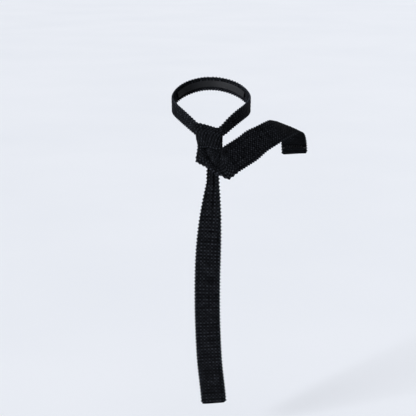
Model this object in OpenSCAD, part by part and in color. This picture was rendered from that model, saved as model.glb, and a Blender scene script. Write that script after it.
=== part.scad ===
// Knitted necktie with square ends, tied round a neck in a four-in-hand knot.
// The narrow tail hangs down the chest and the wide blade is thrown over one shoulder.
// X points to the viewer's right, Y to the back and Z up. The origin is the middle of the neck loop.

/* [Cloth] */
// Thickness of the knitted cloth
cloth_t = 3; // [2.4:0.2:3.6]
// Width of the band round the neck
band_w = 24; // [18:1:26]
// Full width of the tail
tail_w = 45; // [36:1:54]
// Width of the blade
blade_w = 48; // [40:1:56]
// Clearance between layers of cloth
gap = 0.4; // [0.3:0.1:0.6]

/* [Neck loop] */
// Half the width of the loop at the cloth's middle
loop_half_w = 70; // [58:1:84]
// Reach of the loop behind the neck's middle
loop_back = 64; // [54:1:78]
// Reach of the loop in front of the neck's middle
loop_front = 90; // [80:1:100]
// Rise of the loop's back above its sides
back_rise = 28; // [18:1:34]
// Fall of the loop's front below its sides
front_dip = 43; // [38:1:48]
// Width of the stay tape inside the band
tape_w = 12; // [8:1:16]
// Thickness of the stay tape
tape_t = 0.8; // [0.5:0.1:1.2]

/* [Knot] */
// Width of the knot
knot_w = 43; // [38:1:50]
// Height of the knot's front wrap at its left
knot_h = 44; // [38:1:52]
// Lean of the knot and the throat, forward at the bottom
knot_lean = 11.5; // [8:0.5:14]
// Thickness of the gathered blade inside the knot
tuck_t = 5; // [4:0.25:6]
// Width of the gathered tail inside the knot
throat_w = 19; // [16:1:21]
// Thickness of the gathered tail inside the knot
throat_t = 4.5; // [3.5:0.25:5.5]

/* [Tail] */
// Length of the tail below its first fold line
tail_len = 412; // [330:2:500]
// Length between the swing pivot and the first fold line
tail_neck = 41; // [38:1:50]
// Sideways bow of the tail
tail_bow = 10; // [0:1:16]
// How far the tail leans out over the chest
chest_out = 26; // [20:1:32]

/* [Blade] */
// Flat length of the blade between the knot's turn and the shoulder
run_len = 109; // [90:1:130]
// Slope of the shoulder line that the blade is thrown over
shoulder_slope = 26.5; // [18:0.5:32]
// Radius of the shoulder under the blade
shoulder_r = 42; // [36:1:50]
// Steepness of the chest just below the shoulder
chest_climb = 50; // [44:1:58]
// Angle between the blade and the shoulder line
cross_angle = 60; // [54:1:68]
// Length of the blade past the top of the shoulder
drop_len = 82; // [70:1:100]
// Distance of the keeper loop from the blade's end
keeper_back = 175; // [160:1:185]
// Width of the keeper loop
keeper_w = 9; // [7:1:12]
// Free height under the keeper loop
keeper_gap = 3.4; // [2.5:0.1:3.8]

/* [Hems] */
// Height of the turned-up hems
hem_h = 15; // [10:1:20]
// Spacing of the hand stitches
stitch_pitch = 4.5; // [3.5:0.5:6]
// Thickness of the sewing thread
thread_d = 0.8; // [0.6:0.1:1.2]

/* [Hidden] */
$fn = 48;

KNIT = [0.05, 0.05, 0.06];
THREAD = [0.09, 0.09, 0.1];
TAPE = [0.12, 0.12, 0.13];

// Cloth edges are bevelled this far in, and are half as thick at the very edge
bevel = 1;
edge_share = 0.5;
// Two pieces of cloth that fold against each other end in thin edges this far apart
fold_gap = 0.6;
thin_edge = 0.2;
// Sewn pieces lie this close to the cloth
seat = 0.15;

function unit(v) = v / norm(v);
function mix(a, b, k) = a + (b - a) * k;
function clamped(k) = min(1, max(0, k));
function smooth(k) = clamped(k) * clamped(k) * (3 - 2 * clamped(k));

// ---- Strips of cloth. place(s, v, h) gives the point s along, v across and h above the middle surface.

// Columns across a strip: share of the half width, inset and share of the thickness
columns = [[-1, 0, edge_share], [-1, bevel, 1], [-0.5, 0, 1], [0, 0, 1], [0.5, 0, 1], [1, -bevel, 1],
    [1, 0, edge_share]];

// Rows along a strip: distance, skew and share of the thickness
function rows(from, to, count, skew = 0) =
    [for (i = [0:count]) [mix(from, to, i / count), skew, 1]];
function point_row(s, thick, skew = 0) = [[s, skew, thin_edge / thick]];

function face(place, half, rows, thick, side) =
    [for (row = rows) [for (col = columns)
        let (v = col[0] * half(row[0]) + col[1])
        place(row[0] - row[1] * v, v, side * thick / 2 * row[2] * col[2])]];

// Closed solid between two equal grids of points
module between(top, bottom) {
    r = len(top);
    c = len(top[0]);
    points = [for (grid = [top, bottom]) for (row = grid) for (p = row) p];
    under = r * c;
    over_faces = [for (i = [0:r - 2]) for (j = [0:c - 2]) let (a = i * c + j)
        each [[a, a + 1, a + c + 1], [a, a + c + 1, a + c]]];
    under_faces = [for (f = over_faces) [f[2] + under, f[1] + under, f[0] + under]];
    rim = concat([for (i = [0:r - 1]) i * c], [for (j = [1:c - 1]) (r - 1) * c + j],
        [for (i = [r - 2:-1:0]) i * c + c - 1], [for (j = [c - 2:-1:1]) j]);
    rim_faces = [for (k = [0:len(rim) - 1]) let (a = rim[k], b = rim[(k + 1) % len(rim)])
        each [[a, b, b + under], [a, b + under, a + under]]];
    polyhedron(points, concat(over_faces, under_faces, rim_faces), convexity = 6);
}

module strip(place, half, rows, thick)
    between(face(place, half, rows, thick, 1), face(place, half, rows, thick, -1));

// Small block that follows the cloth, between two values along, across and above it
module block(place, s, v, h)
    between([for (a = s) [for (b = v) place(a, b, h[1])]],
        [for (a = s) [for (b = v) place(a, b, h[0])]]);

// ---- Neck loop. The angle runs from the back, 0, to the front, 180. v is down the band, h outwards.

// Fall of the loop beside the neck, before its front dips
side_fall = 17;
dip_power = 6;
// The band is pinched over its last stretch before the knot
pinch_angle = 35;
pinch_share = 0.68;
// Each half ends behind the knot, and the left one keeps a cloth's thickness clear of the rise there
left_end = 167 - cloth_t;
right_end = 167;
tape_angle = 62;
seam_w = 2.4;
seam_proud = 1;

function loop_y(c) = (loop_back + loop_front) / 2 * c + (loop_back - loop_front) / 2 * c * c;
function loop_z(c) = side_fall * c + (c < 0 ? -(front_dip - side_fall) * pow(-c, dip_power)
    : (back_rise - side_fall) * c * c);
function loop_at(a) = [loop_half_w * sin(a), loop_y(cos(a)), loop_z(cos(a))];
function loop_place(a, v, h) =
    let (t = unit(loop_at(a + 0.5) - loop_at(a - 0.5)), down = unit(t * t.z - [0, 0, 1]))
    loop_at(a) + down * v + cross(t, down) * h;
function band_half(a, end) =
    band_w / 2 * mix(1, pinch_share, smooth((a - end + pinch_angle) / pinch_angle));
seam_angle = asin((seam_w / 2 + 2 * seat) / loop_half_w);

module half_band(end)
    strip(function(a, v, h) loop_place(a, v, h), function(a) band_half(a, end),
        rows(seam_angle, end, 40), cloth_t);

module neckband_left() color(KNIT) mirror([1, 0, 0]) half_band(left_end);
module neckband_right() color(KNIT) half_band(right_end);

module neck_seam() color(THREAD)
    translate([-seam_w / 2, loop_back - cloth_t / 2, back_rise - band_w / 2 + bevel])
        cube([seam_w, cloth_t + seam_proud, band_w - 2 * bevel]);

module neck_tape() color(TAPE)
    strip(function(a, v, h) loop_place(a, v, h - (cloth_t + tape_t) / 2 - seat), function(a) tape_w / 2,
        rows(-tape_angle, tape_angle, 40), tape_t);

// ---- Knot, in its own leaning frame. Its origin is in the throat's middle plane, at mid height.

knot_at = [0, -loop_front + 3.5, -front_dip - 3];
module in_knot() translate(knot_at) rotate([-knot_lean, 0, 0]) children();
function from_knot(p) = knot_at + [p.x, p.y * cos(knot_lean) + p.z * sin(knot_lean),
    -p.y * sin(knot_lean) + p.z * cos(knot_lean)];

// Middle planes of the layers, from the front wrap to the rise behind the knot
cross_y = -(throat_t + cloth_t) / 2 - gap;
tuck_y = cross_y - (cloth_t + tuck_t) / 2 - gap;
front_y = tuck_y - (tuck_t + cloth_t) / 2 - gap;
back_y = (throat_t + cloth_t) / 2 + 2 * gap;
rise_y = back_y + cloth_t + gap;

knot_x = -4;
throat_x = 3.5;
wrap_mid_y = (front_y + back_y) / 2;
wrap_half_x = (knot_w - cloth_t) / 2;
wrap_half_y = (back_y - front_y) / 2;
knot_bottom = -knot_h / 2;
knot_top = knot_h / 2;
// The wrap's top edge falls to the right, and passes under the bands at both sides
top_fall = 0.25;
side_top = -5;
// The wrap is nearly square at its left, and rounds out at its right where it goes back round the knot
left_power = 0.3;
right_power = 0.45;
side_out = 4;
// The wrap leans out at its top left corner
left_flare = 3.5;
// Angles where the front wrap hands over to the back wrap
wrap_from = 148;
wrap_to = 392;
wrap_split = 2.5;

function squared(c, power) = sign(c) * pow(abs(c), power);
function wrap_at(a) =
    let (right = cos(a) > 0, power = right ? right_power : left_power)
    [knot_x + (wrap_half_x + (right ? side_out : 0)) * squared(cos(a), power),
        wrap_mid_y + wrap_half_y * squared(sin(a), power), 0];
function wrap_top(p) = mix(knot_top - top_fall * (p.x - knot_x + wrap_half_x), side_top,
    smooth((p.y - front_y - cloth_t) / cloth_t / 2));
function wrap_point(a, z, h) =
    let (p = wrap_at(a), t = unit(wrap_at(a + 0.5) - wrap_at(a - 0.5)), out = [t.y, -t.x, 0])
    [p.x - left_flare * smooth((knot_x - p.x) / wrap_half_x) * z / knot_top, p.y, z] + out * h;
// v runs from -1 at the bottom edge to 1 at the top edge
function wrap_place(a, v, h) = wrap_point(a, mix(knot_bottom, wrap_top(wrap_at(a)), (v + 1) / 2), h);
wrap_columns = [[-1, edge_share], [-0.94, 1], [-0.4, 1], [0.2, 1], [0.6, 1], [0.94, 1], [1, edge_share]];

module wrap(from, to, count) {
    grids = [for (side = [1, -1]) [for (i = [0:count]) [for (col = wrap_columns)
        wrap_place(mix(from, to, i / count), col[0], side * cloth_t / 2 * col[1])]]];
    between(grids[0], grids[1]);
}

module knot_front_wrap() color(KNIT) in_knot() wrap(wrap_from, wrap_to, 72);
module knot_back_wrap() color(KNIT) in_knot() wrap(wrap_to + wrap_split, wrap_from + 360 - wrap_split, 40);

// Flat layer with round edges, standing on its lower end
module layer(width, thick, height) linear_extrude(height) {
    square([width - thick, thick], center = true);
    for (side = [-1, 1]) translate([side * (width - thick) / 2, 0]) circle(d = thick);
}

// The layers inside keep clear of the wrap's sides, of which the left one leans in at the bottom
inside_w = 2 * wrap_half_x - cloth_t - left_flare - 3;
inside_x = knot_x + left_flare / 2;
cross_top = 3;
cross_h = 20;
module knot_first_cross() color(KNIT) in_knot()
    translate([inside_x, cross_y, cross_top - cross_h]) layer(inside_w, cloth_t, cross_h);

tuck_top = 2;
module blade_tuck() color(KNIT) in_knot()
    translate([inside_x, tuck_y, knot_bottom]) layer(inside_w, tuck_t, tuck_top - knot_bottom);

// The blade's way up behind the knot and over its top, down to the tuck
rise_w = 24;
rise_foot = -15;
// The rise slants: its foot starts this far left of its top
rise_shift = 8;
arch_r = (rise_y - tuck_y) / 2;
arch_z = tuck_top + seat;
leg_len = arch_z - rise_foot;
arch_len = PI * arch_r;
function rise_place(s, v, h) =
    let (k = s - leg_len, a = clamped(k / arch_len) * 180,
        x = knot_x - rise_shift * (1 - smooth(s / leg_len)))
    [x + v, (rise_y + tuck_y) / 2 + (arch_r + h) * cos(a), arch_z + min(k, 0) + (arch_r + h) * sin(a)
        - top_fall * v * smooth((s - leg_len / 2) / leg_len) * sin(a)];
module knot_rise() color(KNIT) in_knot()
    strip(function(s, v, h) rise_place(s, v, h), function(s) rise_w / 2,
        rows(0, leg_len + arch_len, 30), cloth_t);

// ---- Blade over the shoulder. It is a flat strip that rolls over a round shoulder without stretching.

ridge = [cos(shoulder_slope), 0, -sin(shoulder_slope)];
backward = [0, 1, 0];
upward = [sin(shoulder_slope), 0, cos(shoulder_slope)];
climb = cos(chest_climb) * backward + sin(chest_climb) * upward;
chest_out_dir = cos(chest_climb) * upward - sin(chest_climb) * backward;
along = cos(cross_angle) * ridge + sin(cross_angle) * climb;
// Across the blade, towards its lower edge
lower = sin(cross_angle) * ridge - cos(cross_angle) * climb;

// Corner that the blade turns about below the knot, and the rows on each side of it
turn_lead = 4;
turn_inner = 2.5;
turn_drop = 1;
turn_corner = from_knot([knot_x + wrap_half_x + 1.5, tuck_y, knot_bottom - turn_drop]);
lift_mid = turn_corner + turn_lead * along + (turn_inner + blade_w / 2) * lower;
chest_edge = lift_mid + run_len * along;
shoulder_mid = chest_edge - shoulder_r * chest_out_dir;
roll_len = shoulder_r * (chest_climb + 90) * PI / 180;

// q runs across the shoulder line, a along it
function shoulder_point(q, a, h) = a * ridge + (q < 0 ? chest_edge + q * climb + h * chest_out_dir
    : let (w = min(q, roll_len) / shoulder_r * 180 / PI - chest_climb)
        shoulder_mid + (shoulder_r + h) * (sin(w) * backward + cos(w) * upward)
            - max(0, q - roll_len) * upward);
// v is positive towards the upper edge
function blade_place(s, v, h) = shoulder_point((s - run_len) * sin(cross_angle) + v * cos(cross_angle),
    (s - run_len) * cos(cross_angle) - v * sin(cross_angle), h);
function blade_half(s) = blade_w / 2;
square_skew = 1 / tan(cross_angle);

// The drop folds along the shoulder line, this far past the shoulder's top
fold_past = 20;
fold_s = run_len + shoulder_r * (chest_climb + fold_past) * PI / 180 / sin(cross_angle);
top_s = run_len + shoulder_r * chest_climb * PI / 180 / sin(cross_angle);
blade_end = top_s + drop_len;
fold_half = fold_gap / 2 / sin(cross_angle);
fold_bevel = cloth_t / 2 / sin(cross_angle);

module blade_run() color(KNIT)
    strip(function(s, v, h) blade_place(s, v, h), function(s) blade_half(s),
        concat(point_row(fold_gap / 2, cloth_t), rows(fold_gap / 2 + cloth_t / 2, run_len * 0.55, 6),
            [for (i = [1:6]) [mix(run_len * 0.55, run_len, i / 6), square_skew * i / 6, 1]],
            rows(run_len + 4, fold_s - fold_half - fold_bevel, 18, square_skew),
            point_row(fold_s - fold_half, cloth_t, square_skew)), cloth_t);

square_end = fold_s + (blade_end - fold_s) * 0.75;
module blade_drop() color(KNIT)
    strip(function(s, v, h) blade_place(s, v, h), function(s) blade_half(s),
        concat(point_row(fold_s + fold_half, cloth_t, square_skew),
            [for (i = [0:14]) [mix(fold_s + fold_half + fold_bevel, square_end, i / 14),
                square_skew * (1 - i / 14), 1]],
            rows(square_end + 3, blade_end, 5)), cloth_t);

// The blade's turn below the knot: rows that swing from the left to the blade's own direction
turn_steps = 20;
turn_start_w = knot_w;
// The turn's outer edge is stretched out, most of all near its end
turn_bulge = 4;
left = [-1, 0, 0];
turn_angle = acos(left * lower);
turn_front = unit(cross(left, lower));
function turn_dir(k) = (sin((1 - k) * turn_angle) * left + sin(k * turn_angle) * lower) / sin(turn_angle);
function turn_row(k, h) = [for (col = columns)
    let (w = mix(turn_start_w, blade_w, smooth(k)) + turn_bulge * sin(180 * k * k),
        v = w / 2 * (1 - col[0]) - col[1], out = unit(mix(turn_front, chest_out_dir, smooth(k))))
    turn_corner + (turn_inner + v) * turn_dir(k) + h * col[2] * out];
module blade_turn() {
    ends = concat([[-(fold_gap + cloth_t) / 2, 0, 1]], point_row(-fold_gap / 2, cloth_t));
    grids = [for (side = [1, -1])
        concat([for (i = [0:turn_steps]) turn_row(i / turn_steps, side * cloth_t / 2)],
            face(function(s, v, h) blade_place(s, v, h), function(s) blade_half(s), ends, cloth_t, side))];
    color(KNIT) between(grids[0], grids[1]);
}

// ---- Tail, from the throat inside the knot to its square end

swing_drop = 43;
throat_top = -1;
pivot_r = throat_w / 2;

// Outline in the knot's frame, seen from the front
module throat_shape() difference() {
    translate([-throat_w / 2, -swing_drop]) square([throat_w, swing_drop + throat_top]);
    translate([0, -swing_drop]) circle(r = pivot_r + gap);
}
module tail_throat() color(KNIT) in_knot()
    translate([throat_x, throat_t / 2, 0]) rotate([90, 0, 0]) linear_extrude(throat_t) throat_shape();

// Width of the tail at its first fold line, as a share of its full width, and where it reaches the full width
tail_start_share = 0.51;
tail_full_at = 0.35;
tail_start_w = tail_w * tail_start_share;
// Where the straight sides leave the round top
neck_corner = (pivot_r - seat) * [cos(15), -sin(15)];
neck_end = fold_gap / 2 - tail_neck;
module tail_upper() color(KNIT) in_knot() translate([throat_x, 0, -swing_drop]) {
    rotate([90, 0, 0]) cylinder(r = pivot_r, h = throat_t, center = true);
    intersection() {
        translate([0, throat_t / 2, 0]) rotate([90, 0, 0]) linear_extrude(throat_t)
            polygon([[-neck_corner.x, neck_corner.y], neck_corner, [tail_start_w / 2, -tail_neck],
                [-tail_start_w / 2, -tail_neck]]);
        rotate([90, 0, 90]) translate([0, 0, -tail_w]) linear_extrude(2 * tail_w)
            polygon([[-throat_t / 2, 0], [throat_t / 2, 0], [throat_t / 2, neck_end + throat_t / 2],
                [thin_edge / 2, neck_end], [-thin_edge / 2, neck_end],
                [-throat_t / 2, neck_end + throat_t / 2]]);
    }
}

tail_start = from_knot([throat_x, 0, -swing_drop - tail_neck]);
chest_at = 0.45;
chest_back = 5;
function tail_at(s) =
    let (k = s / tail_len)
    tail_start + [-tail_bow * sin(180 * k), -chest_out * sin(90 * min(1, k / chest_at))
        + chest_back * pow(max(0, k - chest_at) / (1 - chest_at), 2), -s];
function tail_half(s) =
    let (k = s / tail_len)
    tail_w / 2 * (1 - (1 - tail_start_share) * pow(1 - min(1, k / tail_full_at), 2));
function tail_place(s, v, h) =
    let (t = unit(tail_at(s + 1) - tail_at(s - 1)), side = unit([1, 0, 0] - t * t.x))
    tail_at(s) + side * v + cross(t, side) * h;

// Second fold line of the tail
curl_s = tail_len * 0.45;
tail_rows = 30;
// The first fold line is level, though the tail leaves it with a sideways lean
level_skew = tail_bow * PI / tail_len;
module tail_middle() color(KNIT)
    strip(function(s, v, h) tail_place(s, v, h), function(s) tail_half(s),
        concat(point_row(fold_gap / 2, cloth_t, level_skew),
            [for (i = [0:tail_rows]) [mix((fold_gap + cloth_t) / 2,
                curl_s - (fold_gap + cloth_t) / 2, i / tail_rows), level_skew * (1 - i / tail_rows), 1]],
            point_row(curl_s - fold_gap / 2, cloth_t)), cloth_t);
module tail_lower() color(KNIT)
    strip(function(s, v, h) tail_place(s, v, h), function(s) tail_half(s),
        concat(point_row(curl_s + fold_gap / 2, cloth_t),
            rows(curl_s + (fold_gap + cloth_t) / 2, tail_len, tail_rows)), cloth_t);

// ---- Hems, turned up behind each square end, with their stitches and corner tacks

hem_t = cloth_t * 0.7;
hem_inset = 1;
tack_w = 4;

module hem(place, half, end, under) color(KNIT)
    strip(function(s, v, h) place(s, v, h + under), function(s) half(s) - hem_inset,
        rows(end - hem_h, end, 4), hem_t);

module hem_stitches(place, half, end, under) {
    count = floor((half - 2 * tack_w) / stitch_pitch);
    color(THREAD) for (i = [-count:count])
        block(place, [end - hem_h - seat - thread_d * 2.5, end - hem_h - seat],
            [i * stitch_pitch - thread_d / 2, i * stitch_pitch + thread_d / 2], [under, under + thread_d]);
}

module bar_tacks(place, half, end, under) color(THREAD) for (side = [-1, 1])
    let (middle = side * (half - hem_inset - tack_w / 2 - 1))
        block(place, [end - hem_h + 1, end - hem_h + 1 + thread_d * 2],
            [middle - tack_w / 2, middle + tack_w / 2], [under - thread_d, under]);

hem_under = -(cloth_t + hem_t) / 2 - seat;
thread_under = -cloth_t / 2 - 2 * seat - thread_d;
tack_under = -cloth_t / 2 - 2 * seat - hem_t;

tail_end_half = tail_half(tail_len);
module tail_hem()
    hem(function(s, v, h) tail_place(s, v, h), function(s) tail_half(s), tail_len, hem_under);
module tail_hem_stitches()
    hem_stitches(function(s, v, h) tail_place(s, v, h), tail_end_half, tail_len, thread_under);
module tail_bar_tacks()
    bar_tacks(function(s, v, h) tail_place(s, v, h), tail_end_half, tail_len, tack_under);
module blade_hem()
    hem(function(s, v, h) blade_place(s, v, h), function(s) blade_half(s), blade_end, hem_under);
module blade_hem_stitches()
    hem_stitches(function(s, v, h) blade_place(s, v, h), blade_w / 2, blade_end, thread_under);
module blade_bar_tacks()
    bar_tacks(function(s, v, h) blade_place(s, v, h), blade_w / 2, blade_end, tack_under);

// ---- Keeper loop across the underside of the blade, held by a tack at each end

keeper_t = 1.6;
keeper_half = blade_w / 2 - 6;
keeper_foot = 5;
keeper_s = blade_end - keeper_back;
keeper_rows = 16;
// Height of the keeper's middle surface under the cloth, v across the blade
function keeper_h(v) = cloth_t / 2 + seat + keeper_t / 2
    + keeper_gap * smooth((keeper_half - keeper_foot - abs(v)) / keeper_foot);
module keeper_loop() {
    grids = [for (side = [1, -1]) [for (i = [0:keeper_rows])
        let (v = mix(-keeper_half, keeper_half, i / keeper_rows))
        [for (j = [1, -1]) blade_place(keeper_s + j * keeper_w / 2, v, -keeper_h(v) + side * keeper_t / 2)]]];
    color(KNIT) between(grids[0], grids[1]);
}
module keeper_tacks() color(THREAD) for (side = [-1, 1])
    block(function(s, v, h) blade_place(s, v, h), [keeper_s - keeper_w / 2 + 1, keeper_s + keeper_w / 2 - 1],
        [side * (keeper_half - 2) - thread_d, side * (keeper_half - 2) + thread_d],
        [-cloth_t / 2 - 2 * seat - keeper_t - thread_d, -cloth_t / 2 - 2 * seat - keeper_t]);

neckband_left();
neckband_right();
neck_seam();
neck_tape();
knot_first_cross();
knot_back_wrap();
knot_front_wrap();
knot_rise();
blade_tuck();
blade_turn();
tail_throat();
tail_upper();
tail_middle();
tail_lower();
tail_hem();
tail_hem_stitches();
tail_bar_tacks();
blade_run();
blade_drop();
blade_hem();
blade_hem_stitches();
blade_bar_tacks();
keeper_loop();
keeper_tacks();
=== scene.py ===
import math

import bpy
import numpy as np
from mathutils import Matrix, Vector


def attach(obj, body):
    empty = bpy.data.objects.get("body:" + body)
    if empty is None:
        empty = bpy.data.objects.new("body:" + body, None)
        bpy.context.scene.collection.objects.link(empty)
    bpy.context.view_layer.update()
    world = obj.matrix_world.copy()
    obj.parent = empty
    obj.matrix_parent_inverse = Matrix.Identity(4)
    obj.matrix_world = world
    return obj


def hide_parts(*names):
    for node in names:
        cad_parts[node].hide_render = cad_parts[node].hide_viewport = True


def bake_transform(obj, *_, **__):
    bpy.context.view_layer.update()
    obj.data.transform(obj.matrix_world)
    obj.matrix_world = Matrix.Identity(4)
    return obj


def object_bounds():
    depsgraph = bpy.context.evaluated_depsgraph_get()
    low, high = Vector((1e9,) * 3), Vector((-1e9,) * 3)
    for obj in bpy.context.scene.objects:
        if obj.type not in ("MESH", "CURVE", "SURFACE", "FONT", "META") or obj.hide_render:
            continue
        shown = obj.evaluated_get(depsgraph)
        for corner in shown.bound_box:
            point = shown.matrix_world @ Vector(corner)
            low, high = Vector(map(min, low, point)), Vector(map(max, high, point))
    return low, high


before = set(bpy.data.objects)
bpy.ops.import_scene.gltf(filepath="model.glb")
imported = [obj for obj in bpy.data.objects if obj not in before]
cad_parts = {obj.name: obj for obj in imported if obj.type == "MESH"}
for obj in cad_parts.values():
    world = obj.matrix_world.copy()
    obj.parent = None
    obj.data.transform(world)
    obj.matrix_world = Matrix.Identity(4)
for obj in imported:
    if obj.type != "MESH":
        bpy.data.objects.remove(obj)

cad_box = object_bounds()

# ---- Studio
# A pale matt floor a little below the hanging tie, soft window light from the left, a weaker window
# behind on the right, and a pale room that fills the shadows. The camera stands 2.2 m in front of the
# chest and looks a little down.

look_down = math.radians(13)
camera_distance = 2.2
looked_at = np.array([-0.0045, -0.1, -0.176])
camera = bpy.data.objects.new("camera", bpy.data.cameras.new("camera"))
camera.location = looked_at - camera_distance * np.array([0, math.cos(look_down), -math.sin(look_down)])
camera.rotation_euler = (math.radians(90) - look_down, 0, 0)
camera.data.lens = 105.8
camera.data.clip_end = 200
bpy.context.scene.collection.objects.link(camera)
bpy.context.scene.camera = camera
# Plain display of light, so that the black of the yarn stays black
bpy.context.scene.view_settings.view_transform = "Standard"


def linear(hex_colour):
    """sRGB hex to linear RGBA."""
    parts = [int(hex_colour[i:i + 2], 16) / 255 for i in (1, 3, 5)]
    return (*[c / 12.92 if c <= 0.04045 else ((c + 0.055) / 1.055) ** 2.4 for c in parts], 1)


def add_node(tree, kind, settings=None, links=None):
    """A node with its settings, by attribute or socket name, and the sockets that feed it."""
    node = tree.nodes.new(kind)
    for key, value in (settings or {}).items():
        if isinstance(key, str) and hasattr(node, key):
            setattr(node, key, value)
        else:
            node.inputs[key].default_value = value
    for key, source in (links or {}).items():
        tree.links.new(source, node.inputs[key])
    return node


def new_material(name):
    """A material and its node tree, still empty."""
    material = bpy.data.materials.new(name)
    material.use_nodes = True
    material.node_tree.nodes.clear()
    return material, material.node_tree


# Painted plaster: pale and matt, with a faint cloudiness so that it doesn't look like paper
plaster, tree = new_material("painted_plaster")
where = add_node(tree, "ShaderNodeTexCoord")
clouds = add_node(tree, "ShaderNodeTexNoise", {"Scale": 1.4, "Detail": 3.0},
                  {"Vector": where.outputs["Object"]})
pale = add_node(tree, "ShaderNodeMix", {"data_type": "RGBA", 6: linear("#eceef1"), 7: linear("#f4f5f7")},
                {0: clouds.outputs[0]})
paint = add_node(tree, "ShaderNodeBsdfPrincipled", {"Roughness": 0.9}, {"Base Color": pale.outputs[2]})
add_node(tree, "ShaderNodeOutputMaterial", links={"Surface": paint.outputs[0]})

floor_drop = 0.06
floor_size = 60
floor_z = cad_box[0].z - floor_drop
floor_mesh = bpy.data.meshes.new("floor")
floor_corners = ((-1, -1), (1, -1), (1, 1), (-1, 1))
floor_mesh.from_pydata([(x * floor_size, y * floor_size, floor_z) for x, y in floor_corners], [],
                       [(0, 1, 2, 3)])
floor = bpy.data.objects.new("floor", floor_mesh)
floor_mesh.materials.append(plaster)
bpy.context.scene.collection.objects.link(floor)

room = bpy.data.worlds.new("room")
bpy.context.scene.world = room
room.use_nodes = True
room.node_tree.nodes["Background"].inputs["Color"].default_value = linear("#eef1f5")
room.node_tree.nodes["Background"].inputs["Strength"].default_value = 0.45


def soft_sun(name, away, strength, spread, colour):
    """Even light that comes from the direction of away, soft over that angle."""
    lamp = bpy.data.objects.new(name, bpy.data.lights.new(name, "SUN"))
    lamp.data.energy, lamp.data.angle = strength, math.radians(spread)
    lamp.data.color = linear(colour)[:3]
    lamp.rotation_mode = "QUATERNION"
    lamp.rotation_quaternion = Vector(away).to_track_quat("Z", "Y")
    bpy.context.scene.collection.objects.link(lamp)


soft_sun("window", (-0.76, -0.6, 0.22), 6.0, 24, "#f6f9ff")
soft_sun("window_behind", (0.7, 0.68, 0.24), 2.0, 30, "#f8f8ff")

# ---- Neck band
# The band round the neck is the narrow middle of the tie. It is one flat strip of black moss-stitch
# knit, pinched where it runs into the knot, and its halves meet at a seam behind the neck.

cloth_t = 3.0
band_w = 24.0
loop_half_w = 70.0
loop_back, loop_front = 64.0, 90.0
back_rise, side_fall, front_dip, dip_power = 28.0, 17.0, 43.0, 6
pinch_angle = 35.0
left_end, right_end = 165.0, 168.0
# The band stands a little wider than the collar, more so on the right
left_slack, right_slack = 1.015, 1.055
# Share of its width that each half keeps where it enters the knot
left_share, right_share = 0.84, 0.75
left_draw, right_draw = 4.5, 8.0
# One stitch is this wide and high, coarser than the real 2.1 mm so that it shows. Moss stitch repeats
# every two.
stitch = 2.8
relief_depth = 1.25
# Spacing of the mesh along and across the cloth
fine = 0.6
edge_r = 1.3
# Spacing of the selvedge's loops, their width, and the width that they pull in and out
selvedge_pitch, selvedge_w, scallop_w = 5.6, 2.9, 3.2
# The middle of the band stands this far out of its edges
band_crown = 0.7


def mix(a, b, k):
    return a + (b - a) * k


def smooth(k):
    k = np.clip(k, 0, 1)
    return k * k * (3 - 2 * k)


def unit(v):
    return v / np.linalg.norm(v, axis=-1, keepdims=True)


# No two stitches are quite as tight, and the pattern of it repeats only after this many
tight_count = 61
tightness = np.random.default_rng(11).uniform(0.15, 1.45, (tight_count, tight_count))


def moss(s, v, to_edge, rows=0.18):
    """Height of moss stitch, from -1 to 1, with a share of whole rows that stand out. The outermost
    stitches are the larger loops of the selvedge."""
    s = s + 0.35 * np.sin(v / 9.0 + s / 41.0) + 0.25 * np.sin(s / 17.0)
    v = v + 0.25 * np.sin(s / 13.0 + 0.7)
    bumps = np.cos(np.pi * s / stitch) * np.cos(np.pi * v / stitch)
    bumps = np.sign(bumps) * np.abs(bumps) ** 0.8
    row, column = (np.rint(x / stitch).astype(int) % tight_count for x in (s, v))
    body = (0.9 - rows) * bumps * tightness[row, column] \
        + rows * np.cos(np.pi * s / stitch) * tightness[row, 0] \
        + 0.1 * np.cos(np.pi * v / stitch) * tightness[0, column]
    loops = np.cos(2 * np.pi * s / selvedge_pitch)
    return mix(np.clip(body, -1, 1), 0.3 + 0.7 * loops, smooth((selvedge_w - to_edge) / 1.2))


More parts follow.
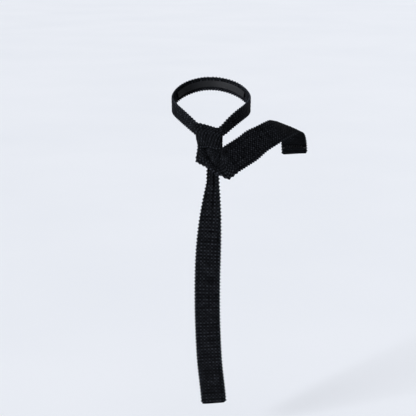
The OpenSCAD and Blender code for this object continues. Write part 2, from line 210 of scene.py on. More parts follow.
def cloth_mesh(name, s, half, place, thick, surface=moss, depth=relief_depth, flat=None, shift=None,
               spacing=fine, scallop=0.8):
    """A closed strip of cloth. s holds the courses' places along it, half the half width there, and
    place(s, v, h) gives the point along, across and above the middle surface, all in millimetres. flat
    turns (s, v) into the places that the stitches are counted by, and shift lifts the middle surface."""
    s = np.asarray(s, float)
    half, thick = (np.broadcast_to(np.asarray(x, float), s.shape) for x in (half, thick))
    count = int(np.ceil(2 * half.max() / spacing))
    turn = np.radians([60, 30, 0, -30, -60])
    side = np.linspace(-1, 1, count + 1)
    u = np.concatenate([side, np.ones(5), side[::-1], -np.ones(5)])
    out = np.concatenate([0 * side, np.cos(turn), 0 * side, -np.cos(turn)])
    up = np.concatenate([0 * side + 1, np.sin(turn), 0 * side - 1, -np.sin(turn)])
    ss = np.repeat(s[:, None], len(u), 1)
    v = u * (half[:, None] - edge_r) + out * edge_r
    to_edge = half[:, None] - np.abs(v)
    fs, fv = flat(ss, v) if flat else (ss, v)
    height = surface(fs, fv, to_edge)
    near = smooth((scallop_w - to_edge) / scallop_w)
    # The loops of the two edges don't face one another
    phase = np.where(v > 0, 0.0, 1.3)
    v = v + np.sign(v) * near * scallop * np.cos(2 * np.pi * fs / selvedge_pitch + phase)
    h = up * (thick[:, None] / 2 - depth / 2) + up * depth / 2 * height
    if shift:
        h = h + shift(ss, v)
    points = place(ss, v, h) * 0.001
    rows, cols = ss.shape
    a = (np.arange(rows - 1)[:, None] * cols + np.arange(cols)[None, :])
    b = (np.arange(rows - 1)[:, None] * cols + (np.arange(cols)[None, :] + 1) % cols)
    quads = np.stack([a, a + cols, b + cols, b], -1).reshape(-1, 4)
    flat_points = points.reshape(-1, 3)
    p = flat_points[quads]
    if (np.cross(p[:, 2] - p[:, 0], p[:, 3] - p[:, 1]) * (p[:, 0] - flat_points.mean(0))).sum() < 0:
        quads = quads[:, ::-1]
        caps = [list(range(cols)), list(range(rows * cols - 1, (rows - 1) * cols - 1, -1))]
    else:
        caps = [list(range(cols - 1, -1, -1)), list(range((rows - 1) * cols, rows * cols))]
    mesh = bpy.data.meshes.new(name)
    mesh.from_pydata(flat_points.tolist(), [], quads.tolist() + caps)
    mesh.shade_smooth()
    ends = np.zeros(len(mesh.edges) * 2, np.int32)
    mesh.edges.foreach_get("vertices", ends)
    ends = ends.reshape(-1, 2)
    rim = ((ends < cols).all(1) | (ends >= (rows - 1) * cols).all(1))
    mesh.attributes.new("sharp_edge", "BOOLEAN", "EDGE").data.foreach_set("value", rim)
    # The stitches' height, by which the materials paint shade into the gaps and grooves
    crown = mesh.attributes.new("crown", "FLOAT", "POINT")
    crown.data.foreach_set("value", (height.ravel() * 0.5 + 0.5).astype(np.float32))
    corner = np.zeros(len(mesh.loops), np.int32)
    mesh.loops.foreach_get("vertex_index", corner)
    flats = np.stack([fs.ravel(), fv.ravel()], 1)[corner] * 0.001
    mesh.uv_layers.new(name="flat").data.foreach_set("uv", flats.astype(np.float32).ravel())
    piece = bpy.data.objects.new(name, mesh)
    bpy.context.scene.collection.objects.link(piece)
    return piece


def courses(start, end, spacing=fine, round_start=False, round_end=False):
    """Places of the rows of mesh between two ends, with extra rows where an end is rounded."""
    rows = list(np.linspace(start, end, max(2, int(np.ceil((end - start) / spacing)) + 1)))
    tips = [0.05, 0.2, 0.45, 0.8]
    return np.array(sorted(rows + ([start + t for t in tips] if round_start else [])
                           + ([end - t for t in tips] if round_end else [])))


def rounded(s, thick, start=None, end=None):
    """Thickness that rounds off towards an end of the cloth."""
    left = np.minimum(s - start if start is not None else np.inf, end - s if end is not None else np.inf)
    k = np.clip(left / (cloth_t / 2), 0, 1)
    return thick * np.clip(np.sqrt(1 - (1 - k) ** 2), 0.12, 1)


# Knitted cotton and silk yarn, dyed black: matt and a little greyer and bluer on the stitches' crowns, with
# painted shade that turns the gaps between stitches nearly black, and a soft bloom at grazing angles from the
# loose fibres
def knitted_yarn(name, painted_gap_shade, crown_colour, bloom):
    material, tree = new_material(name)
    flat = add_node(tree, "ShaderNodeUVMap", {"uv_map": "flat"})
    mm = add_node(tree, "ShaderNodeVectorMath", {"operation": "SCALE", "Scale": 1000.0}, {0: flat.outputs[0]})
    crown = add_node(tree, "ShaderNodeAttribute", {"attribute_name": "crown"})
    # Fibres of about 0.3 mm, and dye that takes a little unevenly over some 12 mm
    fibre = add_node(tree, "ShaderNodeTexNoise", {"Scale": 3.2, "Detail": 4.0, "Roughness": 0.65},
                     {"Vector": mm.outputs[0]})
    dye = add_node(tree, "ShaderNodeTexNoise", {"Scale": 0.085, "Detail": 4.0, "Roughness": 0.75},
                   {"Vector": mm.outputs[0]})
    lift = add_node(tree, "ShaderNodeMath", {"operation": "MULTIPLY_ADD", 1: 0.55, 2: -0.18},
                    {0: fibre.outputs[0]})
    raised = add_node(tree, "ShaderNodeMath", {"operation": "ADD", "use_clamp": True},
                      {0: crown.outputs["Fac"], 1: lift.outputs[0]})
    # Painted shade: the colour falls towards black in the gaps between stitches, by the stitches' height
    top = add_node(tree, "ShaderNodeMath", {"operation": "POWER", 1: 3.2}, {0: raised.outputs[0]})
    yarn = add_node(tree, "ShaderNodeMix",
                    {"data_type": "RGBA", 6: linear(painted_gap_shade), 7: linear(crown_colour)},
                    {0: top.outputs[0]})
    tone = add_node(tree, "ShaderNodeMapRange",
                    {"From Min": 0.3, "From Max": 0.7, "To Min": 0.5, "To Max": 1.5},
                    {"Value": dye.outputs[0]})
    faded = add_node(tree, "ShaderNodeMix", {"data_type": "RGBA", "blend_type": "MULTIPLY", 0: 1.0},
                     {6: yarn.outputs[2], 7: tone.outputs[0]})
    rough = add_node(tree, "ShaderNodeMapRange", {"To Min": 0.95, "To Max": 0.72},
                     {"Value": raised.outputs[0]})
    # The yarn's two plies twist about every 0.8 mm
    ply = add_node(tree, "ShaderNodeTexWave", {"bands_direction": "DIAGONAL", "Scale": 0.4, "Distortion": 2.5,
                                               "Detail": 2.0, "Detail Scale": 2.0}, {"Vector": mm.outputs[0]})
    twist = add_node(tree, "ShaderNodeBump", {"Strength": 0.5, "Distance": 0.0001},
                     {"Height": ply.outputs[1]})
    fuzz = add_node(tree, "ShaderNodeBump", {"Strength": 0.7, "Distance": 0.00016},
                    {"Height": fibre.outputs[0], "Normal": twist.outputs[0]})
    shader = add_node(tree, "ShaderNodeBsdfPrincipled",
                      {"Specular IOR Level": 0.012, "Sheen Weight": bloom, "Sheen Roughness": 0.55,
                       "Sheen Tint": linear("#8d93a3")},
                      {"Base Color": faded.outputs[2], "Roughness": rough.outputs[0],
                       "Normal": fuzz.outputs[0]})
    add_node(tree, "ShaderNodeOutputMaterial", links={"Surface": shader.outputs[0]})
    return material


# 000000 is the painted shade in the gaps between stitches, #25272b the yarn on their crowns
black_knit = knitted_yarn("black_knitted_yarn", "#000000", "#25272b", 0.008)


def dress(piece, material):
    piece.data.materials.append(material)


def loop_line(a):
    """Middle line of the band round the neck, by the angle from the back."""
    c = np.cos(a)
    y = (loop_back + loop_front) / 2 * c + (loop_back - loop_front) / 2 * c * c
    z = side_fall * c + np.where(c < 0, -(front_dip - side_fall) * np.abs(c) ** dip_power,
                                 (back_rise - side_fall) * c * c)
    return np.stack([loop_half_w * np.sin(a), y, z], -1)


loop_angles = np.radians(np.linspace(0, 180, 1801))
loop_steps = np.linalg.norm(np.diff(loop_line(loop_angles), axis=0), axis=1)
loop_lengths = np.concatenate([[0], np.cumsum(loop_steps)])


def band_place(mirror):
    """The places on one half of the band, with mirror -1 for the left half and 1 for the right."""
    def place(s, v, h):
        a = np.interp(s, loop_lengths, loop_angles)
        # Before the knot the left half hangs a little lower, and the right half a little higher
        v = v - mirror * smooth((a - 1.9) / 0.6) * (1 - smooth((a - 2.65) / 0.2) * (mirror > 0))
        step = 0.008
        t = unit(loop_line(a + step) - loop_line(a - step))
        down = unit(t * t[..., 2:] - np.array([0, 0, 1.0]))
        p = loop_line(a) + down * v[..., None] + np.cross(t, down) * h[..., None]
        # Its end is drawn forward, under the front wrap
        p = p - np.array([0, right_draw if mirror > 0 else left_draw, 0]) * smooth((a - 2.5) / 0.4)[..., None]
        return p * np.array([mirror * (right_slack if mirror > 0 else left_slack), 1, 1])
    return place


def band_half(s, end, share):
    a = np.degrees(np.interp(s, loop_lengths, loop_angles))
    return band_w / 2 * mix(1.06, share, smooth((a - end + pinch_angle) / pinch_angle))


def band_shift(s, v):
    """The band lies a little crowned and uneven, as knit does where nothing presses it flat."""
    return 0.5 * np.sin(s / 27.0 + 1) * np.sin(s / 61.0) - band_crown * (v / (band_w / 2)) ** 2 \
        + 0.3 * np.sin(s / 11.0 + v / 6)


for name, mirror, end, share in (("neckband_left", -1, left_end, left_share),
                                 ("neckband_right", 1, right_end, right_share)):
    length = float(np.interp(math.radians(end), loop_angles, loop_lengths))
    s = courses(0.0, length)
    band = cloth_mesh(name + "_cloth", s, band_half(s, end, share), band_place(mirror), cloth_t,
                      shift=band_shift, flat=lambda s, v: (s, v + stitch / 2))
    dress(band, black_knit)
    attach(band, "loop")
    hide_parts(name)

# ---- Seam behind the neck
# The two knitted halves meet behind the neck. They are whipped together there by hand with black
# polyester thread, in short slanting stitches over the joint.

# Twisted polyester thread: smoother than the yarn, so each stitch carries a small soft highlight
thread, tree = new_material("black_polyester_thread")
where = add_node(tree, "ShaderNodeTexCoord")
# Two plies, which twist about every 0.6 mm
ply = add_node(tree, "ShaderNodeTexWave", {"bands_direction": "DIAGONAL", "Scale": 520.0, "Distortion": 1.0},
               {"Vector": where.outputs["Object"]})
# Painted shade: darker in the grooves between the twisted plies and lighter on their tops
ply_groove_shade = add_node(tree, "ShaderNodeMix", {"data_type": "RGBA", 6: linear("#0c0c0e"), 7: linear("#2a2b30")},
                {0: ply.outputs[1]})
twist = add_node(tree, "ShaderNodeBump", {"Strength": 0.6, "Distance": 0.0001}, {"Height": ply.outputs[1]})
polyester = add_node(tree, "ShaderNodeBsdfPrincipled",
                     {"Roughness": 0.42, "Sheen Weight": 0.2, "Sheen Roughness": 0.4},
                     {"Base Color": ply_groove_shade.outputs[2], "Normal": twist.outputs[0]})
add_node(tree, "ShaderNodeOutputMaterial", links={"Surface": polyester.outputs[0]})


def thread_mesh(name, lines, radius, sides=7):
    """Round threads along lines of points in metres, with the radius in millimetres, joined into one mesh."""
    vertices, faces = [], []
    for line in lines:
        line = np.asarray(line, float)
        t = unit(np.gradient(line, axis=0))
        n = unit(np.cross(t, np.array([0.31, 0.53, 0.79])))
        b = np.cross(t, n)
        k = np.linspace(0, 1, len(line))
        # Each stitch thins where it goes into the cloth
        r = radius * 0.001 * np.clip(np.minimum(k, 1 - k) * 9, 0.35, 1)
        first = len(vertices)
        for i in range(len(line)):
            for j in range(sides):
                w = 2 * math.pi * j / sides
                vertices.append(line[i] + r[i] * (math.cos(w) * n[i] + math.sin(w) * b[i]))
        for i in range(len(line) - 1):
            for j in range(sides):
                p, q = first + i * sides + j, first + i * sides + (j + 1) % sides
                faces.append((p, q, q + sides, p + sides))
        faces.append(tuple(first + j for j in range(sides - 1, -1, -1)))
        faces.append(tuple(first + (len(line) - 1) * sides + j for j in range(sides)))
    mesh = bpy.data.meshes.new(name)
    mesh.from_pydata([tuple(p) for p in vertices], [], faces)
    mesh.shade_smooth()
    piece = bpy.data.objects.new(name, mesh)
    bpy.context.scene.collection.objects.link(piece)
    dress(piece, thread)
    return piece


thread_r = 0.4
seam_half = 1.9
seam_stitch_pitch = 1.9
# A whip stitch starts this deep in the cloth and rises this far over the joint
whip_sunk, whip_rise = 0.45, 1.15


def across_seam(x, v, h):
    """A point of the band's middle surface at the back, x across the seam."""
    side = band_place(1 if x >= 0 else -1)
    return side(np.array([abs(x)]), np.array([v]), np.array([h]))[0] * 0.001


whips = []
for v in np.arange(-band_w / 2 + 1.5, band_w / 2 - 0.5, seam_stitch_pitch):
    k = np.linspace(-1, 1, 15)
    whips.append([across_seam(seam_half * x, v + 0.5 * x, cloth_t / 2 - whip_sunk + whip_rise * (1 - x ** 4))
                  for x in k])
seam_whips = thread_mesh("neck_seam_whipping", whips, thread_r)
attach(seam_whips, "loop")
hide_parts("neck_seam")

# ---- Stay tape
# A woven grosgrain tape runs inside the back of the band and keeps it from stretching. It is slipped
# under the whipped seam and lies against the cloth.

tape_w, tape_t = 12.0, 0.8
tape_angle = 62.0
tape_gap = 0.15
# Grosgrain ribs are 1 mm apart
rib_pitch = 1.0

# Woven polyester grosgrain: fine ribs across, a faint satin gleam, and a more even black than the knit
grosgrain, tree = new_material("black_grosgrain")
flat = add_node(tree, "ShaderNodeUVMap", {"uv_map": "flat"})
mm = add_node(tree, "ShaderNodeVectorMath", {"operation": "SCALE", "Scale": 1000.0}, {0: flat.outputs[0]})
crown = add_node(tree, "ShaderNodeAttribute", {"attribute_name": "crown"})
# Warp threads 0.3 mm apart
warp = add_node(tree, "ShaderNodeTexWave", {"bands_direction": "Y", "Scale": 1.05, "Distortion": 0.6},
                {"Vector": mm.outputs[0]})
# Painted shade: darker in the grooves between the ribs and lighter on their crowns, by the ribs' height
rib_groove_shade = add_node(tree, "ShaderNodeMix", {"data_type": "RGBA", 6: linear("#050506"), 7: linear("#17181b")},
                {0: crown.outputs["Fac"]})
cord = add_node(tree, "ShaderNodeBump", {"Strength": 0.5, "Distance": 0.00008}, {"Height": warp.outputs[1]})
woven = add_node(tree, "ShaderNodeBsdfPrincipled",
                 {"Roughness": 0.5, "Specular IOR Level": 0.15, "Sheen Weight": 0.02,
                  "Sheen Roughness": 0.35},
                 {"Base Color": rib_groove_shade.outputs[2], "Normal": cord.outputs[0]})
add_node(tree, "ShaderNodeOutputMaterial", links={"Surface": woven.outputs[0]})


def ribs(s, v, to_edge):
    return np.cos(2 * np.pi * s / rib_pitch) * mix(1, 0.2, smooth((0.8 - to_edge) / 0.8))


def tape_place(s, v, h):
    """Inside the band, clear of its crown."""
    inside = h - (cloth_t + tape_t) / 2 - tape_gap - band_crown
    right, left = (band_place(side)(np.abs(s), v, inside) for side in (1, -1))
    return np.where((s >= 0)[..., None], right, left)


tape_reach = float(np.interp(math.radians(tape_angle), loop_angles, loop_lengths))
s = courses(-tape_reach, tape_reach, 0.25)
tape = cloth_mesh("neck_stay_tape", s, tape_w / 2, tape_place, tape_t, surface=ribs, depth=0.22, scallop=0.0,
                  spacing=1.0)
dress(tape, grosgrain)
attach(tape, "loop")
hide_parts("neck_tape")

# ---- Knot
# A four-in-hand: the blade crosses over the tail, wraps behind it, wraps across the front, comes up
# behind and is tucked down through the front wrap. All of it is the same knit, pulled tight.

knot_lean = math.radians(11.5)
knot_at = np.array([0, -86.5, -46.0])
gap = 0.4
tuck_t, throat_t = 5.0, 4.5
knot_w, knot_h = 43.0, 44.0
knot_x, throat_x = -4.0, 3.5
cross_y = -(throat_t + cloth_t) / 2 - gap
tuck_y = cross_y - (cloth_t + tuck_t) / 2 - gap
front_y = tuck_y - (tuck_t + cloth_t) / 2 - gap
back_y = (throat_t + cloth_t) / 2 + 2 * gap
rise_y = back_y + cloth_t + gap
wrap_mid_y, wrap_half_x, wrap_half_y = (front_y + back_y) / 2, (knot_w - cloth_t) / 2, (back_y - front_y) / 2
knot_top, knot_bottom = knot_h / 2, -knot_h / 2
top_fall, side_top = 0.25, -5.0
left_flare = 4.5
left_lift = 1.6
# The wrap is nearly square at its left, and rounds out at its right where it goes back round the knot
left_power, right_power = 0.3, 0.62
left_out, right_out = 1.6, 4.6


def from_knot(x, y, z):
    """A place in the knot, which leans: x to its side, y to its back and z to its top."""
    c, k = math.cos(knot_lean), math.sin(knot_lean)
    return np.stack(np.broadcast_arrays(x, y * c + z * k, -y * k + z * c), -1) + knot_at


wrap_angles = np.radians(np.linspace(130, 540, 4101))
wrap_cos, wrap_sin = np.cos(wrap_angles), np.sin(wrap_angles)
wrap_power = np.where(wrap_cos > 0, right_power, left_power)
wrap_x = knot_x + (wrap_half_x + np.where(wrap_cos > 0, right_out, left_out)) \
    * np.sign(wrap_cos) * np.abs(wrap_cos) ** wrap_power
wrap_y = wrap_mid_y + wrap_half_y * np.sign(wrap_sin) * np.abs(wrap_sin) ** wrap_power
wrap_lengths = np.concatenate([[0], np.cumsum(np.hypot(np.diff(wrap_x), np.diff(wrap_y)))])


def wrap_place(s, v, h):
    """s runs along the cloth round the knot and v from -1 at the bottom edge to 1 at the top edge."""
    x, y = np.interp(s, wrap_lengths, wrap_x), np.interp(s, wrap_lengths, wrap_y)
    tx = np.interp(s + 0.4, wrap_lengths, wrap_x) - np.interp(s - 0.4, wrap_lengths, wrap_x)
    ty = np.interp(s + 0.4, wrap_lengths, wrap_y) - np.interp(s - 0.4, wrap_lengths, wrap_y)
    n = np.hypot(tx, ty)
    front_top = knot_top + left_lift * (1 - smooth((x - knot_x + wrap_half_x) / 36))
    top = mix(front_top - top_fall * (x - knot_x + wrap_half_x), side_top, smooth((y - front_y - 2.5) / 6))
    facing = smooth((wrap_mid_y - y) / wrap_half_y)
    bottom = knot_bottom + facing * (1.2 * np.exp(-((x + 5) / 4) ** 2) - 2.8 * smooth((x - 1) / 8))
    z = mix(bottom, top, (v / knot_top + 1) / 2)
    lean = left_flare * smooth((knot_x - x) / wrap_half_x) * z / knot_top
    swell = 1.3 * facing * np.cos(np.clip((x - knot_x) / wrap_half_x, -1, 1) * 1.4) \
        * np.cos(z / knot_top * 1.3)
    return from_knot(x - lean + ty / n * h, y - tx / n * h - swell, z)


def wrap_flat(s, v):
    """The wrap is drawn tight across the front on the slant, so its courses are closer there, and lean
    below the top edge."""
    return 1.05 * (s - 0.72 * 3 * np.logaddexp(0, (7 - v) / 3)), 1.05 * v


def wrap_shift(s, v):
    """Two shallow creases run across the front from the pull of the tuck."""
    x = np.interp(s, wrap_lengths, wrap_x) - knot_x
    return -0.7 * np.exp(-((v + 17 - 0.25 * x) / 3.0) ** 2) * np.exp(-(x / 15) ** 2) \
        - 0.6 * np.exp(-((v - 12 + 0.5 * x) / 3.5) ** 2)


# The wrap starts behind the knot's left side and is meshed in two parts, which meet behind its right
wrap_from, wrap_to, wrap_back = (float(np.interp(math.radians(a), wrap_angles, wrap_lengths))
                                 for a in (148, 392, 148 + 360))
front_wrap = cloth_mesh("knot_front_wrap_cloth", courses(wrap_from, wrap_to, 0.5), knot_h / 2, wrap_place,
                        cloth_t, flat=wrap_flat, shift=wrap_shift, spacing=0.5, depth=1.6)
back_wrap = cloth_mesh("knot_back_wrap_cloth", courses(wrap_to, wrap_back), knot_h / 2, wrap_place, cloth_t,
                       flat=wrap_flat)

inside_w = 2 * wrap_half_x - cloth_t - left_flare - 3
inside_x = knot_x + left_flare / 2
cross_top, cross_h = 3.0, 20.0
s = courses(-inside_w / 2, inside_w / 2, 0.8, True, True)
first_cross = cloth_mesh("knot_first_cross_cloth", s, cross_h / 2,
                         lambda s, v, h: from_knot(inside_x + s, cross_y - h, cross_top - cross_h / 2 + v),
                         rounded(s, cloth_t, -inside_w / 2, inside_w / 2), spacing=0.8)

tuck_top = 2.0
rise_w, rise_foot, rise_shift = 24.0, -15.0, 8.0
arch_r = (rise_y - tuck_y) / 2
leg_len = tuck_top - rise_foot
arch_len = math.pi * arch_r


def rise_place(s, v, h):
    k = s - leg_len
    a = np.clip(k / arch_len, 0, 1) * math.pi
    x = knot_x - rise_shift * (1 - smooth(s / leg_len))
    z = tuck_top + np.minimum(k, 0) + (arch_r + h) * np.sin(a)
    return from_knot(x + v, (rise_y + tuck_y) / 2 + (arch_r + h) * np.cos(a),
                     z - top_fall * v * smooth((s - leg_len / 2) / leg_len) * np.sin(a))


rise = cloth_mesh("knot_rise_cloth", courses(0, leg_len + arch_len), rise_w / 2, rise_place, cloth_t)

tuck = cloth_mesh("blade_tuck_cloth", courses(0, tuck_top - knot_bottom - 0.5, 0.8), inside_w / 2,
                  lambda s, v, h: from_knot(inside_x + v, tuck_y - h, tuck_top - s), tuck_t, spacing=0.8)

# Share of the knot's height that the wrap keeps behind it
back_share = 0.6
for piece, node, size in ((front_wrap, "knot_front_wrap", (knot_h, wrap_to - wrap_from)),
                          (back_wrap, "knot_back_wrap", (knot_h * back_share, wrap_back - wrap_to)),
                          (first_cross, "knot_first_cross", (cross_h, inside_w)),
                          (rise, "knot_rise", (rise_w, leg_len + arch_len)),
                          (tuck, "blade_tuck", (inside_w, tuck_top - knot_bottom))):
    dress(piece, black_knit)
    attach(piece, "loop")
    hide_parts(node)

# ---- Blade
# The wide blade comes down out of the knot with a dimple in its middle, turns at once on its gathered
# inner edge, climbs the chest and is thrown over the shoulder. It is one strip of the same knit.

blade_w = 48.0
run_len = 109.0
shoulder_slope, shoulder_r = math.radians(26.5), 42.0
chest_climb, cross_angle = math.radians(50), math.radians(60)
drop_len = 82.0
blade_corner_r = 3.5
turn_lead, turn_inner, turn_drop = 4.0, 2.5, 1.0

ridge = np.array([math.cos(shoulder_slope), 0, -math.sin(shoulder_slope)])
backward = np.array([0, 1.0, 0])
upward = np.array([math.sin(shoulder_slope), 0, math.cos(shoulder_slope)])
climb = math.cos(chest_climb) * backward + math.sin(chest_climb) * upward
chest_out = math.cos(chest_climb) * upward - math.sin(chest_climb) * backward
along = math.cos(cross_angle) * ridge + math.sin(cross_angle) * climb
lower = math.sin(cross_angle) * ridge - math.cos(cross_angle) * climb
turn_corner = from_knot(knot_x + wrap_half_x + 1.5, tuck_y, knot_bottom - turn_drop)
chest_edge = turn_corner + (turn_lead + run_len) * along + (turn_inner + blade_w / 2) * lower
shoulder_mid = chest_edge - shoulder_r * chest_out
roll_len = shoulder_r * (chest_climb + math.pi / 2)
# The blade's lower and upper edges spread this far beyond its flat width at the fold
spread_below, spread_above = 4.1, 2.1


def run_spread(s):
    """How far the blade's lower and upper edges spread beyond its flat width as it leaves the fold."""
    below = spread_below * (1 - smooth((s - 35) / 40))
    above = (spread_above + 1.9 * np.exp(-((s - 60) / 14) ** 2)) * (1 - smooth((s - 70) / 40))
    return below, above


def run_place(s, v, h):
    """The flat strip rolls over the round shoulder without stretching. v is positive at the upper edge."""
    below, above = run_spread(s)
    v = v + mix(-below, above, v / blade_w + 0.5)
    q = (s - run_len) * math.sin(cross_angle) + v * math.cos(cross_angle)
    a = (s - run_len) * math.cos(cross_angle) - v * math.sin(cross_angle)
    w = np.clip(q, 0, roll_len) / shoulder_r - chest_climb
    q, a, w, h = q[..., None], a[..., None], w[..., None], np.asarray(h)[..., None]
    on_chest = chest_edge + q * climb + h * chest_out
    rolled = shoulder_mid + (shoulder_r + h) * (np.sin(w) * backward + np.cos(w) * upward) \
        - np.maximum(0, q - roll_len) * upward
    return a * ridge + np.where(q < 0, on_chest, rolled)


left = np.array([-1.0, 0, 0])
turn_angle = math.acos(left @ lower)
turn_front = unit(np.cross(left, lower))
# Distance and bearing from the corner of the fold's three straight edges below the knot
fold_edges = ((39.9, math.radians(-8.9)), (43.6, math.radians(61)),
              (turn_inner + blade_w + spread_below, turn_angle))
corner_r = 1.6
turn_scale = 38.0
turn_len = turn_angle * turn_scale
# The blade starts this far up inside the knot
hidden_len = 12.0
turn_start = -turn_lead - turn_len


def turn_reach(w):
    """Distance of the fold's outer edge from its corner."""
    edges = [d / np.cos(np.clip(w - b, -1.35, 1.35)) for d, b in fold_edges]
    reach = -np.log(sum(np.exp(-e / corner_r) for e in edges)) * corner_r
    return reach + 0.5 * smooth((turn_angle - w) / 0.4)


def turn_radius(s, v):
    w = np.clip((s - turn_start) / turn_scale, 0, turn_angle)
    inner = mix(-1.2, turn_inner - spread_above, smooth(w / 1.2))
    return w, inner + (turn_reach(w) - inner) * (blade_w / 2 - v) / blade_w


def turn_place(s, v, h):
    w, r = turn_radius(s, v)
    k = smooth(w / turn_angle)[..., None]
    way = (np.sin(turn_angle - w)[..., None] * left + np.sin(w)[..., None] * lower) / math.sin(turn_angle)
    out = unit(mix(turn_front, chest_out, k))
    up_knot = from_knot(0, 0, 1) - from_knot(0, 0, 0)
    rise_in = np.maximum(0, turn_start - s)[..., None] * up_knot
    return turn_corner + r[..., None] * way + np.asarray(h)[..., None] * out + rise_in


def blade_place(s, v, h):
    return np.where((s < -turn_lead)[..., None], turn_place(s, v, h), run_place(s, v, h))


def round_corners(half, left, r):
    """The half width where so much of the strip is left before its end, with its corners rounded."""
    k = np.clip(1 - left / r, 0, 1)
    return half - r * (1 - np.sqrt(1 - k * k))


def half_blade(s):
    return round_corners(blade_w / 2, blade_end - s, blade_corner_r)


def blade_shift(s, v):
    """The dimple's crease curves through the turn and fades along the blade, gathers fan out from the
    inner corner, and the cloth beside the crease swells."""
    w, r = turn_radius(s, v)
    down = blade_w / 2 - v + turn_inner
    r = np.where(s < -turn_lead, r, down)
    crease_r = 25 + 11 * smooth((w - 0.5) / 1.3)
    fade = 1 - smooth((s + turn_lead) / 60)
    crease = -2.4 * np.exp(-((r - crease_r) / 3.4) ** 2) * fade
    swell = 1.6 * np.exp(-((r - crease_r - 10) / 6) ** 2) * fade
    gathers = 0.9 * np.cos(w * 13 + 0.08 * r) * np.exp(-((r - 13) / 9) ** 2) * smooth(-(s + turn_lead) / 8)
    settle = 0.7 * np.sin(s / 23) * np.cos(v / 15) * smooth(s / 20)
    out_of_knot = 3.0 * smooth((s - turn_start + 4) / 9) * (1 - smooth((w - 0.7) / 0.9)) * smooth(r / 20)
    over_crest = -4.4 * np.exp(-((s - run_len - 28) / 20) ** 2)
    return crease + swell + gathers + settle + out_of_knot + over_crest


split_s = 70.0
top_s = run_len + shoulder_r * chest_climb / math.sin(cross_angle)
blade_end = top_s + drop_len
fan = np.linspace(turn_start, -turn_lead, 205)
s = np.concatenate([courses(turn_start - hidden_len, turn_start - 0.3, 1.0), fan,
                    courses(-turn_lead, split_s)[1:]])
blade_front = cloth_mesh("blade_turn_and_run", s, blade_w / 2, blade_place, cloth_t, shift=blade_shift)
dress(blade_front, black_knit)
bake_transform(blade_front)
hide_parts("blade_turn")

s = courses(split_s, blade_end, round_end=True)
blade_back = cloth_mesh("blade_over_shoulder", s, half_blade(s), blade_place,
                        rounded(s, cloth_t, end=blade_end), shift=blade_shift)
dress(blade_back, black_knit)

# ---- Hem of the blade
# The blade's square end is turned up 15 mm behind, so that the knit can't run. It is slip-stitched by
# hand with black polyester thread, and a bar tack holds each corner. The tail's end is made the same way.

hem_h, hem_t, hem_inset = 15.0, 2.1, 1.0
# The hem lies this far off the cloth, and stops this far short of the strip's end
hem_seat, hem_short = 0.15, 0.4
stitch_pitch = 4.5
tack_w = 4.0


def hem_pieces(name, place, half, end):
    """The turned-up hem, its slip stitches and its bar tacks, behind the end of a strip."""
    under = -(cloth_t + hem_t) / 2 - hem_seat
    s = courses(end - hem_h, end - hem_short, round_start=True, round_end=True)
    reach = float(half(np.array(end - hem_h)))
    hem = cloth_mesh(name + "_hem_cloth", s, np.minimum(half(s), reach) - hem_inset,
                     lambda s, v, h: place(s, v, h + under), rounded(s, hem_t, end - hem_h, end - hem_short))
    dress(hem, black_knit)
    slips, tacks = [], []
    count = int((reach - 2 * tack_w) / stitch_pitch)
    k = np.linspace(0, 1, 11)
    for i in range(-count, count + 1):
        v = i * stitch_pitch + (k - 0.5) * 1.6
        h = -cloth_t / 2 - mix(0.1, hem_t + 0.2, smooth(k * 1.3)) + 0.5 * (2 * k - 1) ** 8
        slips.append(place(end - hem_h - 2.0 + 3.6 * k, v, h) * 0.001)
    for side in (-1, 1):
        middle = side * (reach - hem_inset - tack_w / 2 - 1)
        k = np.linspace(0, 1, 121)
        swing = np.abs(((k * 9) % 2) - 1) * 2 - 1
        tacks.append(place(end - hem_h + 1 + 1.7 * k, middle + swing * tack_w / 2,
                           np.full(k.shape, -cloth_t / 2 - hem_seat - hem_t - 0.05)) * 0.001)
    return hem, thread_mesh(name + "_hem_slip_stitches", slips, thread_r), \
        thread_mesh(name + "_hem_bar_tacks", tacks, thread_r * 0.7)


blade_hem = hem_pieces("blade", run_place, half_blade, blade_end)
for piece, node in zip(blade_hem, ("blade_hem", "blade_hem_stitches", "blade_bar_tacks")):
    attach(piece, "drop")
    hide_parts(node)

# ---- Keeper loop
# A narrow strap of the same knit across the blade's underside, which the tail can be slipped through.
# It stands off the blade in its middle and is tacked down with thread at each end.

keeper_w, keeper_t, keeper_gap = 9.0, 1.6, 3.4
keeper_back, keeper_foot = 175.0, 5.0
keeper_half = blade_w / 2 - 6
keeper_s = blade_end - keeper_back


def keeper_place(s, v, h):
    """s runs across the blade here, and v along it."""
    slack = keeper_gap * smooth((keeper_half - keeper_foot - np.abs(s)) / keeper_foot)
    return blade_place(keeper_s + v, s, -(cloth_t / 2 + hem_seat + keeper_t / 2 + slack + h))


s = courses(-keeper_half, keeper_half, 0.5, True, True)
keeper = cloth_mesh("keeper_strap", s, keeper_w / 2, keeper_place,
                    rounded(s, keeper_t, -keeper_half, keeper_half), depth=0.5, spacing=0.5, scallop=0.2)
dress(keeper, black_knit)
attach(keeper, "run")
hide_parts("keeper_loop")
# No flat side under 10 mm is taken, so this 9 mm strap is given as a little wider than it is
tack_lines = []
for side in (-1, 1):
    k = np.linspace(0, 1, 121)
    swing = np.abs(((k * 11) % 2) - 1) * 2 - 1
    tack_lines.append(blade_place(keeper_s - keeper_w / 2 + 1 + (keeper_w - 2) * k,
                                  side * (keeper_half - 2) + swing * 0.9,
                                  np.full(k.shape, -cloth_t / 2 - hem_seat - keeper_t - 0.1)) * 0.001)
keeper_tacks = thread_mesh("keeper_strap_tacks", tack_lines, thread_r * 0.7)
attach(keeper_tacks, "run")
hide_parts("keeper_tacks")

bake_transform(blade_back)
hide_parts("blade_run", "blade_drop")

# ---- Tail
# The tie's narrow end, of the same knit, comes down out of the knot gathered to half its width, opens
# out on the chest and hangs to a square hemmed end.

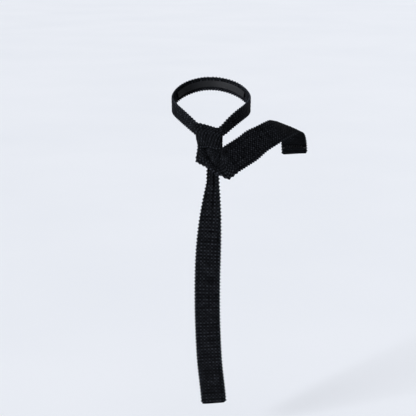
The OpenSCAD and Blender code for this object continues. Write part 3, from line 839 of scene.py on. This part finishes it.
tail_len, tail_neck, swing_drop = 412.0, 41.0, 43.0
tail_w, tail_start_share, tail_full_at = 45.0, 0.51, 0.35
tail_corner_r = 5.0
tail_bow, chest_lean, chest_back, chest_at = 10.0, 26.0, 5.0, 0.45
throat_w, throat_top = 19.0, -1.0
tail_start = from_knot(throat_x, 0, -swing_drop - tail_neck)
curl_s = 0.45 * tail_len


def tail_line(s):
    k = s / tail_len
    y = -chest_lean * np.sin(math.pi / 2 * np.clip(k / chest_at, None, 1)) \
        + chest_back * (np.maximum(0, k - chest_at) / (1 - chest_at)) ** 2
    return tail_start + np.stack([-tail_bow * np.sin(math.pi * k), y, -s], -1)


def tail_half(s):
    opened = 1 - (1 - tail_start_share) * (1 - np.clip(s / tail_len / tail_full_at, 0, 1)) ** 2
    hung = round_corners(tail_w / 2 * opened + 0.4 * smooth(s / 60), tail_len - s, tail_corner_r)
    return np.where(s < 0, mix(throat_w / 2, tail_w * tail_start_share / 2, smooth(1 + s / 60)), hung)


def tail_place(s, v, h):
    """Above the first fold line the tail runs straight up into the knot."""
    below = np.maximum(s, 0)
    t = unit(tail_line(below + 1) - tail_line(below - 1))
    side = unit(np.array([1.0, 0, 0]) - t * t[..., :1])
    hung = tail_line(below) + side * v[..., None] + np.cross(t, side) * np.asarray(h)[..., None]
    p = np.where((s < 0)[..., None], from_knot(throat_x + v, -h, -swing_drop - tail_neck - s), hung)
    # It hangs a little to the right, more so at its end
    return p + np.array([1.0, 0, 0]) * (0.7 + 2.2 * smooth((s - 320) / 80))[..., None]


def tail_thick(s):
    return mix(throat_t, cloth_t, smooth((s + 30) / 70))


def tail_shift(s, v):
    """Gathers run down from the knot and fade, and lower down the cloth only wavers a little."""
    gathered = 1 - smooth((s + 30) / 130)
    x = v / tail_half(s)
    return gathered * (0.9 * np.cos(x * 7.5 + 0.6) + 0.5 * np.cos(x * 13)) \
        + (1 - gathered) * (0.5 * np.sin(s / 47 + 1) * np.sin(v / 17) + 0.35 * np.sin(s / 29) - 0.5 * x ** 4)


def tail_flat(s, v):
    """The tail's own weight draws its stitches out."""
    return 0.88 * s, 0.88 * v


def tail_knit(s, v, to_edge):
    """Whole rows stand out more where the cloth is drawn out."""
    return moss(s, v, to_edge, rows=0.28)


# The tail's long pieces are meshed a little more coarsely
tail_fine = 0.62
knot_split, chest_split = -25.0, 90.0
tail_top = throat_top + swing_drop + tail_neck
parts = []
for name, start, end in (("tail_in_knot", -tail_top, knot_split),
                         ("tail_below_knot", knot_split, chest_split),
                         ("tail_on_chest", chest_split, tail_len)):
    s = courses(start, end, tail_fine, round_end=end == tail_len)
    thick = rounded(s, tail_thick(s), end=end) if end == tail_len else tail_thick(s)
    part = cloth_mesh(name, s, tail_half(s), tail_place, thick, shift=tail_shift, spacing=tail_fine,
                      flat=tail_flat, surface=tail_knit, scallop=1.0)
    dress(part, black_knit)
    parts.append(part)

tail_hem = hem_pieces("tail", tail_place, tail_half, tail_len)
for piece, node in zip(tail_hem, ("tail_hem", "tail_hem_stitches", "tail_bar_tacks")):
    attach(piece, "lower")
    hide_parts(node)


def tail_point(s):
    return tuple(tail_place(np.array(float(s)), np.array(0.0), np.array(0.0)) * 0.001)


# Lengths taken either way of a fold line
throat_bend, tail_bend = 8, 14
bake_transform(parts[0], "throat", "upper", start=tail_point(-tail_neck - throat_bend),
         end=tail_point(-tail_neck + throat_bend))
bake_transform(parts[1], "upper", "middle", start=tail_point(-tail_bend), end=tail_point(tail_bend))
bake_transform(parts[2], "middle", "lower", start=tail_point(curl_s - tail_bend),
         end=tail_point(curl_s + tail_bend))
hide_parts("tail_throat")
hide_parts("tail_upper", "tail_middle")
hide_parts("tail_lower")
